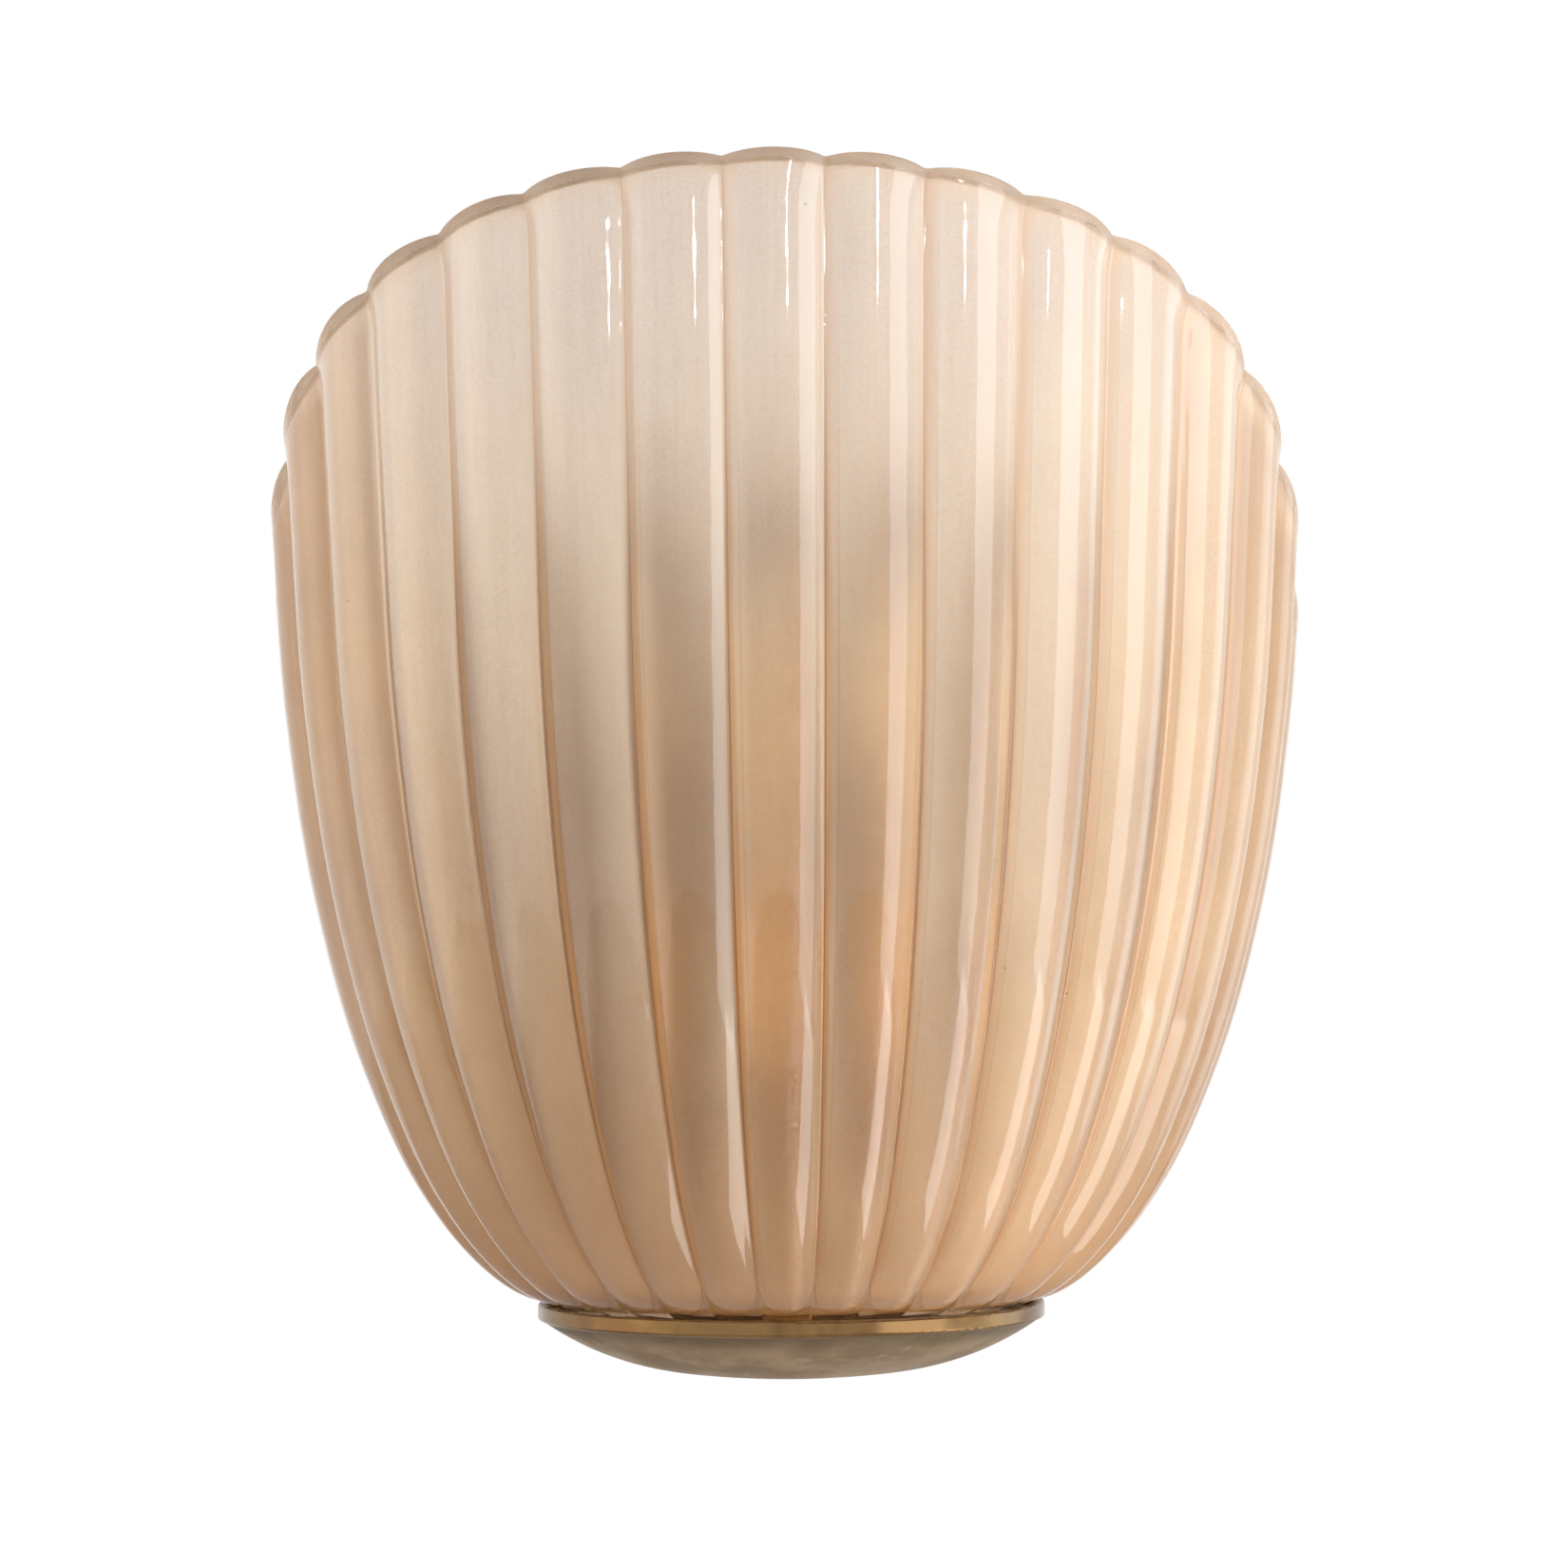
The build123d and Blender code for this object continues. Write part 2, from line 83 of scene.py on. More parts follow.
class Graph:
    # a short way to write a material's nodes
    def __init__(self, tree):
        self.tree = tree
        tree.nodes.clear()

    def add(self, kind, links=None, **values):
        node = self.tree.nodes.new(kind)
        for key, value in values.items():
            setattr(node, key, value)
        for socket, source in (links or {}).items():
            self.plug(node.inputs[socket], source)
        return node

    def plug(self, target, source):
        if isinstance(source, bpy.types.NodeSocket):
            self.tree.links.new(source, target)
        else:
            target.default_value = source

    def math(self, operation, a, b=0.0, clamp=False):
        node = self.add("ShaderNodeMath", {0: a, 1: b}, operation=operation, use_clamp=clamp)
        return node.outputs[0]

    def product(self, a, b):
        return self.math("MULTIPLY", a, b)

    def larger(self, a, b):
        return self.math("MAXIMUM", a, b)

    def span(self, value, low, high, toLow=0.0, toHigh=1.0, smooth=True):
        # low to high becomes toLow to toHigh, level outside
        links = {"Value": value, "From Min": low, "From Max": high, "To Min": toLow, "To Max": toHigh}
        kind = "SMOOTHSTEP" if smooth else "LINEAR"
        return self.add("ShaderNodeMapRange", links, interpolation_type=kind).outputs[0]

    def blend(self, factor, a, b):
        node = self.add("ShaderNodeMix", data_type="RGBA")
        for socket, source in ((0, factor), (6, a), (7, b)):  # this node's colour sockets are 6 and 7
            self.plug(node.inputs[socket], source)
        return node.outputs[2]

    def place(self, stretch=(1, 1, 1)):
        coords = self.add("ShaderNodeTexCoord").outputs["Object"]
        return self.add("ShaderNodeMapping", {"Vector": coords, "Scale": stretch}).outputs[0]

    def noise(self, vector, size, detail=3.0, rough=0.55):
        # size is the width of one blotch in metres
        links = {"Vector": vector, "Scale": 1 / size, "Detail": detail, "Roughness": rough}
        return self.add("ShaderNodeTexNoise", links).outputs[0]

    def attribute(self, name):
        return self.add("ShaderNodeAttribute", attribute_name=name).outputs["Fac"]

    def mixed(self, factor, a, b):
        return self.add("ShaderNodeMixShader", {0: factor, 1: a.outputs[0], 2: b.outputs[0]})

    def letLampLightIn(self, shader, tint):
        # shadow rays pass straight through the glass, tinted
        clear = self.add("ShaderNodeBsdfTransparent", {"Color": rgba(tint)})
        onShadow = self.add("ShaderNodeLightPath").outputs["Is Shadow Ray"]
        return self.mixed(onShadow, shader, clear)


def rgba(colour):
    return (*colour, 1.0)


def newMaterial(name):
    material = bpy.data.materials.new(name)
    material.use_nodes = True
    return material, Graph(material.node_tree)


def ringPiece(name, points, material, body, values):
    # points is rows x columns x 3, closed both ways: the last row and the last column join the first.
    # The faces are turned round where the closed shape would have a negative volume.
    rows, columns = points.shape[:2]
    count = np.arange(rows * columns).reshape(rows, columns)
    nextRow = np.roll(count, -1, axis=0)
    nextColumn = np.roll(count, -1, axis=1)
    nextBoth = np.roll(nextRow, -1, axis=1)
    quads = np.stack([count, nextColumn, nextBoth, nextRow], -1).reshape(-1, 4)
    flat = points.reshape(-1, 3)
    a, b, c, d = (flat[quads[:, k]] for k in range(4))
    volume = np.einsum("ij,ij->i", a, np.cross(b, c) + np.cross(c, d)).sum()
    if volume < 0:
        quads = quads[:, ::-1]
    mesh = bpy.data.meshes.new(name)
    mesh.vertices.add(len(flat))
    mesh.vertices.foreach_set("co", flat.astype(np.float32).ravel())
    mesh.loops.add(quads.size)
    mesh.loops.foreach_set("vertex_index", quads.astype(np.int32).ravel())
    mesh.polygons.add(len(quads))
    mesh.polygons.foreach_set("loop_start", np.arange(0, quads.size, 4, dtype=np.int32))
    mesh.polygons.foreach_set("use_smooth", np.ones(len(quads), bool))
    mesh.update(calc_edges=True)
    mesh.validate()
    for key, value in values.items():
        field = mesh.attributes.new(key, "FLOAT", "POINT")
        field.data.foreach_set("value", np.asarray(value, np.float32).ravel())
    mesh.materials.append(material)
    piece = bpy.data.objects.new(name, mesh)
    bpy.context.scene.collection.objects.link(piece)
    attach(piece, body)
    return piece


def smoothCurve(x, xs, ys):
    # cubic through the listed points; each point's slope is that of its neighbours' chord
    xs, ys = np.asarray(xs, float), np.asarray(ys, float)
    slope = np.gradient(ys, xs)
    k = np.clip(np.searchsorted(xs, x, side="right") - 1, 0, len(xs) - 2)
    h = xs[k + 1] - xs[k]
    t = np.clip((x - xs[k]) / h, 0, 1)
    return (
        (2 * t**3 - 3 * t**2 + 1) * ys[k] + (t**3 - 2 * t**2 + t) * h * slope[k]
        + (3 * t**2 - 2 * t**3) * ys[k + 1] + (t**3 - t**2) * h * slope[k + 1]
    )


shade = {
    "flutes": 32,
    "turn": -1.1,  # degrees that the front flute stands off centre
    "crowding": 1.3,  # degrees by which the front flutes stand closer than the others
    "crowdedTo": 75,  # degrees to each side of the front
    "depth": 0.0045,  # groove below crown
    "rimDepth": 0.58,  # share of it left at the rim
    "rimFade": 0.012,  # the grooves grow shallower over this height below the rim
    "innerDepth": 0.34,  # share of it on the inside
    "roundness": 0.64,  # sine of the flank's slope beside a groove
    "grooveRound": 0.03,  # share of half a flute that rounds the groove's bottom
    "lean": (0.06, 2.4, 0.7),  # crowns stand off their flute's middle: share, change per flute, start
    "uneven": (0.07, 1.7, 22),  # grooves vary in depth: share, change per flute, change per metre
    "wave": (0.00025, 3, 9, 0.1),  # blown wall: size, waves around, change per metre, full from here up
    "tilt": 0.35,  # share of the profile's slant that the outer grooves follow
    "leastCut": 0.2,  # least share of a cut that goes towards the axis
    "wall": 0.0055,
    # profile up the side: lamp height, crown radius, share of the groove's depth
    "profile": (
        (-0.0035, 0.0545, 0.0), (-0.0016, 0.0560, 0.0), (0.0006, 0.0610, 0.15), (0.0020, 0.0654, 0.40),
        (0.0046, 0.0703, 0.65), (0.0086, 0.0755, 0.85), (0.0155, 0.0823, 1.0), (0.0270, 0.0907, 1.0),
        (0.0580, 0.1053, 1.0), (0.0970, 0.1164, 1.0), (0.1450, 0.1238, 1.0), (0.1950, 0.1270, 1.0),
        (0.2820, 0.1306, 1.0),
    ),
    "slopeStep": 0.0004,  # the profile's slope is taken over this, up and down
    "bore": 0.050,
    # the slanting cut follows an arch seen from the side, between these lamp heights
    "rimFront": 0.273,
    "rimBack": 0.0195,
    "rimBow": 0.460,
    "rimTurn": -2.0,  # degrees that the cut is turned about the lamp axis
    "rimRound": 0.0007,
    "rimSquare": 0.5,  # below one makes the rim's oval squarer
    "rimSteps": 10,
    "cutSteps": 900,  # places along the profile that are tried against the cut
    "columns": 16,  # on each flute
    "rows": 112,
    "rowBunch": 1.1,  # above one draws the rows towards the foot
    "amberEdge": (0.86, 0.14),  # place across half a flute where a groove's amber begins, and its width
    "amberFade": ((0.0, 0.015, 0.12, 0.26), (0.0, 1.0, 1.0, 0.4)),  # lamp heights, amber at each
    "rimBand": 0.004,
    "collarBand": (0.001, 0.006),  # lamp height up to which the collar is full, and its fade above
}
zs, rs, shares = (np.array(v) for v in zip(*shade["profile"]))
along = np.concatenate([[0], np.cumsum(np.hypot(np.diff(zs), np.diff(rs)))])


def profileAt(s):
    # height, crown radius and share of the groove's depth at the length s along the profile
    return smoothCurve(s, along, zs), smoothCurve(s, along, rs), np.interp(s, along, shares)


def cutArch():
    # centre of the circle of radius rimBow through the rim's front and back points
    y0, z0 = -np.interp(shade["rimFront"], zs, rs), shade["rimFront"]
    y1, z1 = np.interp(shade["rimBack"], zs, rs), shade["rimBack"]
    half = sqrt((y1 - y0) ** 2 + (z1 - z0) ** 2) / 2
    sink = sqrt(shade["rimBow"] ** 2 - half**2) / (2 * half)
    return (y0 + y1) / 2 + sink * (z1 - z0), (z0 + z1) / 2 - sink * (y1 - y0)


archY, archZ = cutArch()


def cutHeight(x, y):
    # height of the slanting cut over a place x beside and y behind the lamp axis
    turn = radians(shade["rimTurn"])
    back = y * cos(turn) - x * sin(turn)
    return archZ + np.sqrt(np.maximum(shade["rimBow"] ** 2 - (back - archY) ** 2, 0))


def fluteAngles():
    # columns bunch up towards the grooves; each column's angle, its place across its flute
    # from -1 to 1, and its flute's number, each as one row
    n, columns = shade["flutes"], shade["columns"]
    step = np.arange(columns) / columns * 2 - 1
    u = np.tile(np.sin(step * pi / 2) * 0.5 + step * 0.5, n)
    number = np.repeat(np.arange(n), columns)
    angle = -90 + shade["turn"] + (number + u / 2) * 360 / n
    fromFront = (angle + 90 + 180) % 360 - 180
    near = np.abs(fromFront) < shade["crowdedTo"]
    draw = shade["crowding"] * np.sin(np.radians(180 / shade["crowdedTo"] * fromFront))
    angle = np.radians(angle - np.where(near, draw, 0))
    return angle[None, :], u[None, :], number[None, :]


angle, u, number = fluteAngles()


def fluteDrop():
    # an arc across the flute: zero at its crown, one in the groove, the groove's bottom slightly rounded
    e, k = shade["grooveRound"], shade["roundness"]
    share, perFlute, start = shade["lean"]
    lean = share * np.sin(number * perFlute + start)
    v = np.clip(np.abs(u - lean * (1 - u * u)), 0, 1)
    d = (np.sqrt((1 - v) ** 2 + e * e) - e) / (sqrt(1 + e * e) - e)
    return (1 - np.sqrt(1 - (k * (1 - d)) ** 2)) / (1 - sqrt(1 - k * k))


def shadeSurface(s, inset=0.0, grooveInset=None, smoothInside=0.0):
    # the profile's point at length s, moved towards the axis, square to the profile, by the inset
    # plus depth x share x drop x fade near the rim, then by a slow wave; all turned to each column's angle
    z, r, share = profileAt(s)
    z2, r2, _ = profileAt(s + shade["slopeStep"])
    z1, r1, _ = profileAt(s - shade["slopeStep"])
    run = np.hypot(z2 - z1, r2 - r1)
    drop = fluteDrop()
    size, perFlute, perMetre = shade["uneven"]
    uneven = 1 + size * np.sin(number * perFlute) * np.sin(s * perMetre + number)
    below = cutHeight(r * np.cos(angle), r * np.sin(angle)) - z
    fade = np.clip(below / shade["rimFade"], 0, 1)
    fade = shade["rimDepth"] + (1 - shade["rimDepth"]) * fade * fade * (3 - 2 * fade)
    deep = inset if grooveInset is None else inset + (grooveInset - inset) * drop
    deep = deep + shade["depth"] * share * drop * fade * (1 - smoothInside) * uneven
    tilt = 1 if smoothInside > 0 else shade["tilt"]
    z = z + deep * (r2 - r1) / run * tilt
    r = r - deep * np.maximum((z2 - z1) / run, shade["leastCut"])
    size, around, perMetre, full = shade["wave"]
    wave = size * np.sin(around * angle + perMetre * s) * np.clip(s / full, 0, 1)
    r = np.maximum(r + wave, shade["bore"])
    return r * np.cos(angle), r * np.sin(angle), z


def rimReach(surface, drop):
    # how far along the profile each column goes before it meets the cut, lowered by drop
    s = np.linspace(0, along[-1], shade["cutSteps"])[:, None]
    x, y, z = surface(s)
    above = z - (cutHeight(x, y) - drop)
    k = np.argmax(above > 0, axis=0)
    column = np.arange(above.shape[1])
    low, high = above[k - 1, column], above[k, column]
    reach = s[k - 1, 0] + (s[1, 0] - s[0, 0]) * (-low / (high - low))
    return reach[None, :]


def glassPiece(name, x, y, z, material, values):
    # x, y and z are rows x columns, from the lamp axis and from the lip
    points = np.stack([x, y + axisY, z + lipZ], -1)
    piece = ringPiece(name, points, material, "shade", values)
    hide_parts("glass_shade")
    return piece


def makeGlass(material):
    # up the outside, half an oval over the rim with its top on the cut, down the inside to the bore
    def inside(s):
        return shadeSurface(s, inset=shade["wall"], smoothInside=1 - shade["innerDepth"])

    rise = np.linspace(0, 1, shade["rows"])[:, None] ** shade["rowBunch"]
    fall = np.linspace(1, 0, shade["rows"] // 2)[:, None]
    outer = shadeSurface(rise * rimReach(shadeSurface, shade["rimRound"]))
    inner = inside(fall * rimReach(inside, shade["rimRound"]))
    turn = np.linspace(0, pi, shade["rimSteps"])[1:-1, None]
    c = np.cos(turn)
    across = 0.5 - 0.5 * np.sign(c) * np.abs(c) ** shade["rimSquare"]
    rim = [o[-1] + (i[0] - o[-1]) * across for o, i in zip(outer, inner)]
    rim[2] = rim[2] + np.abs(np.sin(turn)) ** shade["rimSquare"] * shade["rimRound"]
    foot = (shade["bore"] * np.cos(angle), shade["bore"] * np.sin(angle), np.full_like(angle, zs[0]))
    x, y, z = (np.concatenate(rows) for rows in zip(outer, rim, inner, foot))
    edge, width = shade["amberEdge"]
    amber = np.clip((np.abs(u) - edge) / width, 0, 1) * np.interp(outer[2], *shade["amberFade"])
    groove = np.zeros_like(x)
    groove[:shade["rows"]] = amber
    collarTop, collarFade = shade["collarBand"]
    values = {
        "groove": groove,
        "rim": np.clip(1 - (cutHeight(x, y) - z) / shade["rimBand"], 0, 1),
        "collar": np.clip(1 - (z - collarTop) / collarFade, 0, 1),
    }
    return glassPiece("clearGlass", x, y, z, material, values)


clearLook = {
    "tint": (0.99, 0.965, 0.93),
    "amber": (0.86, 0.66, 0.44),  # where the glass is thick: in the grooves and the collar
    "collarShare": 0.8,
    "rimTint": (0.96, 0.86, 0.75),
    "rimRough": 0.4,
    "rimSpan": (0.1, 0.6),
    "cloud": (0.93, 0.86, 0.78),
    "cloudSize": 0.03,
    "cloudShare": 0.12,
    "streakSize": 0.0016,
    "streakStretch": (1, 1, 0.04),
    "bump": 0.09,
    "relief": 0.0002,
    "rough": 0.03,
    "roughSpread": 0.3,  # share by which it varies with the streaks
    "ior": 1.52,
    "coat": 0.1,  # a little satin over the polish
    "satin": 0.28,
    "lampTint": (0.95, 0.90, 0.82),
}


def clearGlass(look):
    # polished, with faint clouds and fine upright streaks; amber where it is thick
    material, g = newMaterial("clearGlass")
    tint = g.blend(g.attribute("groove"), rgba(look["tint"]), rgba(look["amber"]))
    tint = g.blend(g.attribute("rim"), tint, rgba(look["rimTint"]))
    tint = g.blend(g.product(g.attribute("collar"), look["collarShare"]), tint, rgba(look["amber"]))
    clouds = g.noise(g.place(), look["cloudSize"], detail=2.0)
    tint = g.blend(g.span(clouds, *noiseWide, toHigh=look["cloudShare"]), tint, rgba(look["cloud"]))
    streaks = g.noise(g.place(look["streakStretch"]), look["streakSize"], detail=2.0)
    bump = g.add("ShaderNodeBump", {"Height": streaks, "Strength": look["bump"], "Distance": look["relief"]})
    smoothest = look["rough"] * (1 - look["roughSpread"])
    roughest = look["rough"] * (1 + look["roughSpread"])
    rough = g.span(streaks, *noiseWide, smoothest, roughest, smooth=False)
    rimRough = g.span(g.attribute("rim"), *look["rimSpan"], toHigh=look["rimRough"])
    glass = g.add("ShaderNodeBsdfPrincipled", {
        "Base Color": tint, "Roughness": g.math("ADD", rough, rimRough), "IOR": look["ior"],
        "Transmission Weight": 1.0, "Coat Weight": look["coat"], "Coat Roughness": look["satin"],
        "Normal": bump.outputs[0]})
    final = g.letLampLightIn(glass, look["lampTint"])
    g.add("ShaderNodeOutputMaterial", {"Surface": final.outputs[0]})
    return material


glassShade = makeGlass(clearGlass(clearLook))

milk = {
    "inset": (0.0036, 0.0010),  # clear glass over the milky layer, at a crown and in a groove
    "thick": 0.0010,
    "rimDrop": 0.0005,
    "start": 0.0012,  # lamp height
    "rows": (112, 64),  # outside, inside
    # the milk ends in round lobes below the rim and above the foot; beyond them the glass is bare
    "top": (0.0008, 0.0034),  # bare glass below the rim, at a crown and in a groove
    "topRound": 2.4,  # higher makes a lobe's end flatter
    "foot": (0.0030, 0.0095),  # lamp height where the lobes end, at a crown and in a groove
    "footRound": 4.0,
    "fade": 0.0009,  # the milk thins out to nothing over this
    # painted sheen: a pale haze, drawn as thicker milk, on one flank of the flutes at the front and to its
    # right, standing in for a broad reflection of the lamps
    "sheenPlace": 0.36,  # across half a flute
    "sheenHalf": 0.17,
    "sheenSway": (0.05, 31, 2),  # size, change per metre, change per flute
    "sheenTop": 0.165,  # lamp height
    "sheenSoft": 0.012,
    "sheenTurn": 0.85,  # radians from the front round to the right
    "sheenEdge": 4,  # higher makes its borders crisper
}


def makeMilk(material):
    # a thin closed skin inside the glass, up its outer and down its inner face;
    # rows stand closer at both ends
    crown, groove = milk["inset"]

    def outside(s):
        return shadeSurface(s, inset=crown, grooveInset=groove)

    def inside(s):
        return shadeSurface(s, inset=crown + milk["thick"], grooveInset=groove + milk["thick"])

    start = np.interp(milk["start"], zs, along)
    rise, fall = (0.5 - 0.5 * np.cos(np.linspace(0, pi, rows))[:, None] for rows in milk["rows"])
    outer = outside(start + (rimReach(outside, milk["rimDrop"]) - start) * rise)
    inner = inside(start + (rimReach(inside, milk["rimDrop"]) - start) * fall[::-1])
    x, y, z = (np.concatenate(rows) for rows in zip(outer, inner))
    size, perMetre, perFlute = milk["sheenSway"]
    # mask of the painted sheen: one flank of each flute, below its top, at the front and to its right
    off = u + size * np.sin(z * perMetre + number * perFlute) - milk["sheenPlace"]
    paintedSheen = np.exp(-((off / milk["sheenHalf"]) ** milk["sheenEdge"]))
    paintedSheen = paintedSheen / (1 + np.exp((z - milk["sheenTop"]) / milk["sheenSoft"]))
    paintedSheen = paintedSheen * np.exp(-(((angle + pi / 2) / milk["sheenTurn"]) ** milk["sheenEdge"]))
    values = {
        "across": np.broadcast_to(np.abs(u), x.shape),
        "flank": np.broadcast_to(np.clip(-u, 0, 1), x.shape),  # the side of a flute to the right of a groove
        "rise": z,
        "paintedSheen": paintedSheen,
        "below": cutHeight(x, y) - z,
    }
    return glassPiece("milkyLayer", x, y, z, material, values)


milkLook = {
    # colours of the part that scatters light, and how much of each comes in where
    "scatter": (0.63, 0.305, 0.11),
    "scatterPale": (0.77, 0.44, 0.195),
    "cloudSpan": (0.38, 0.62),
    # painted light: the milk goes paler and more orange towards the foot, standing in for light from below
    "low": (0.82, 0.47, 0.20),
    "lowSpan": (0.055, 0.005),  # lamp heights
    "edge": (0.84, 0.52, 0.26),  # towards the grooves
    "edgeSpan": (0.55, 0.92),
    "threadSpan": (0.58, 0.68),
    "threadShare": 0.35,
    "amber": (0.84, 0.46, 0.19),  # on the flank to the right of each groove
    "amberShare": 0.7,
    "amberWidth": 0.06,
    "grainDark": (0.36, 0.21, 0.12),
    "grainSpan": (0.50, 0.66),
    "grainShare": 0.40,
    "paintedSheen": (0.76, 0.57, 0.44),
    "sheenShare": 0.6,
    "sheenParts": (0.7, 0.6),  # its strands and its grain
    "bandScatter": (0.70, 0.53, 0.40),  # bare glass at the rim
    "collar": (0.62, 0.36, 0.14),  # bare glass at the foot
    # fine dark lines: the amber's seam, the grooves' bottoms (painted shade in the crease, fainter higher
    # up), seeds, the lobes at the foot
    "line": (0.30, 0.15, 0.06),
    "seam": 0.70,  # place across half a flute
    "seamSpan": (0.03, 0.008),
    "seamFade": (0.25, 0.15, 0.15, 0.5),  # from lamp height to lamp height, from share to share
    "seamHides": 0.6,
    "grooveShadeSpan": (0.965, 0.99),
    "grooveShadeFade": (0.24, 0.10, 0.25, 1.0),
    "grooveShadeShare": 0.8,
    "seedGap": 0.018,
    "seedSize": 0.0004,
    "seedSoft": 0.6,
    "seedShare": 0.8,
    "footSpan": (0.0007, 0.0001),
    "footShare": 0.75,
    # tints of what shows through
    "seen": (0.985, 0.945, 0.895),
    "seenLow": (0.98, 0.87, 0.69),
    "seenSpan": (0.15, 0.26),  # lamp heights
    "seenDim": (0.92, 0.84, 0.75),
    "dimShare": 0.5,
    "bandSeen": (0.94, 0.83, 0.72),
    # share that shows through, and what takes from it
    "clear": 0.80,
    "lowClear": 0.75,
    "bandClear": 0.72,
    "sheenHides": 0.34,
    "grainHides": 0.10,
    "threadHides": 0.025,
    "amberHides": 0.08,
    "lineHides": 0.45,
    # widths in metres, and stretch of the upright ones
    "cloudSize": 0.05,
    "grainSize": 0.0006,
    "threadSize": 0.0011,
    "threadStretch": (1, 1, 0.015),
    "strandSize": 0.0007,
    "strandStretch": (1, 1, 0.008),
    "glow": 0.30,  # share that light from behind lights up
    "blur": 0.42,
    "ior": 1.3,
    "gloss": 0.42,
    "glossSpread": 0.15,  # share by which it varies with the grain
    "shine": 1.0,
    "bump": 0.2,
    "relief": 0.0001,
    "lampTint": (0.76, 0.70, 0.62),
}


def pastLobe(g, across, distance, ends, roundness):
    # how far a place lies beyond the lobe's end, which moves from ends[0] at a crown to ends[1] in a groove
    crown, groove = ends
    end = g.math("ADD", g.product(g.math("POWER", across, roundness), groove - crown), crown)
    return g.math("SUBTRACT", end, distance)


def milkyGlass(look):
    # part scatters the light that falls on it, part lets what stands behind show through, blurred
    material, g = newMaterial("milkyLayer")
    place = g.place()
    across, rise, flank = g.attribute("across"), g.attribute("rise"), g.attribute("flank")
    clouds = g.noise(place, look["cloudSize"], detail=3.0)
    grain = g.noise(place, look["grainSize"], detail=2.0, rough=0.7)
    threads = g.noise(g.place(look["threadStretch"]), look["threadSize"], detail=2.0)
    strands = g.noise(g.place(look["strandStretch"]), look["strandSize"], detail=1.0)

    topGap = pastLobe(g, across, g.attribute("below"), milk["top"], milk["topRound"])
    footGap = pastLobe(g, across, rise, milk["foot"], milk["footRound"])
    bareTop = g.span(topGap, -milk["fade"] / 2, milk["fade"] / 2)
    bareFoot = g.span(footGap, -milk["fade"] / 2, milk["fade"] / 2)
    bare = g.larger(bareTop, bareFoot)
    footLine = g.span(g.math("ABSOLUTE", footGap), *look["footSpan"])

    # painted light towards the foot; it also lets a little less show through there
    low = g.span(rise, *look["lowSpan"])
    amber = g.span(flank, look["seam"], look["seam"] + look["amberWidth"])
    seam = g.span(g.math("ABSOLUTE", g.math("SUBTRACT", flank, look["seam"])), *look["seamSpan"])
    seam = g.product(seam, g.span(rise, *look["seamFade"]))
    # painted shade: a dark line in each groove's bottom, fainter higher up
    groove = g.product(g.span(across, *look["grooveShadeSpan"]), g.span(rise, *look["grooveShadeFade"]))
    # painted sheen: pale strands and grain that stand in for a broad reflection
    strandPart, grainPart = look["sheenParts"]
    sheenPattern = g.math("ADD", g.product(g.span(strands, *noiseClose), strandPart), g.product(grain, grainPart))
    paintedSheen = g.product(g.attribute("paintedSheen"), sheenPattern)
    nearest = g.add("ShaderNodeTexVoronoi", {"Vector": place, "Scale": 1 / look["seedGap"]})
    seedEdge = look["seedSize"] / look["seedGap"]
    seeds = g.span(nearest.outputs["Distance"], seedEdge, seedEdge * look["seedSoft"])

    # each colour comes in over the ones before it
    colour = rgba(look["scatter"])
    for share, over in (
        (g.span(clouds, *look["cloudSpan"]), "scatterPale"),
        (low, "low"),
        (g.span(across, *look["edgeSpan"]), "edge"),
        (g.span(threads, *look["threadSpan"], toHigh=look["threadShare"]), "scatterPale"),
        (g.product(amber, look["amberShare"]), "amber"),
        (seam, "line"),
        (g.span(grain, *look["grainSpan"], toHigh=look["grainShare"]), "grainDark"),
        (g.product(paintedSheen, look["sheenShare"]), "paintedSheen"),
        (g.product(groove, look["grooveShadeShare"]), "line"),
        (g.product(seeds, look["seedShare"]), "line"),
        (bareTop, "bandScatter"),
        (bareFoot, "collar"),
        (g.product(footLine, look["footShare"]), "line"),
    ):
        colour = g.blend(share, colour, rgba(look[over]))
    height = g.math("ADD", grain, threads)
    bump = g.add("ShaderNodeBump", {"Height": height, "Strength": look["bump"], "Distance": look["relief"]})
    smoothest = look["gloss"] * (1 - look["glossSpread"])
    roughest = look["gloss"] * (1 + look["glossSpread"])
    front = g.add("ShaderNodeBsdfPrincipled", {
        "Base Color": colour, "Roughness": g.span(grain, *noiseWide, smoothest, roughest),
        "Normal": bump.outputs[0], "Specular IOR Level": look["shine"]})
    glow = g.add("ShaderNodeBsdfTranslucent", {"Color": colour, "Normal": bump.outputs[0]})
    scatter = g.mixed(look["glow"], front, glow)

    seenTint = g.blend(g.span(rise, *look["seenSpan"]), rgba(look["seenLow"]), rgba(look["seen"]))
    dim = g.span(grain, *noiseClose, toHigh=look["dimShare"])
    seenTint = g.blend(dim, seenTint, rgba(look["seenDim"]))
    seenTint = g.blend(bare, seenTint, rgba(look["bandSeen"]))
    seen = g.add("ShaderNodeBsdfPrincipled", {
        "Base Color": seenTint, "Roughness": look["blur"], "IOR": look["ior"], "Transmission Weight": 1.0})

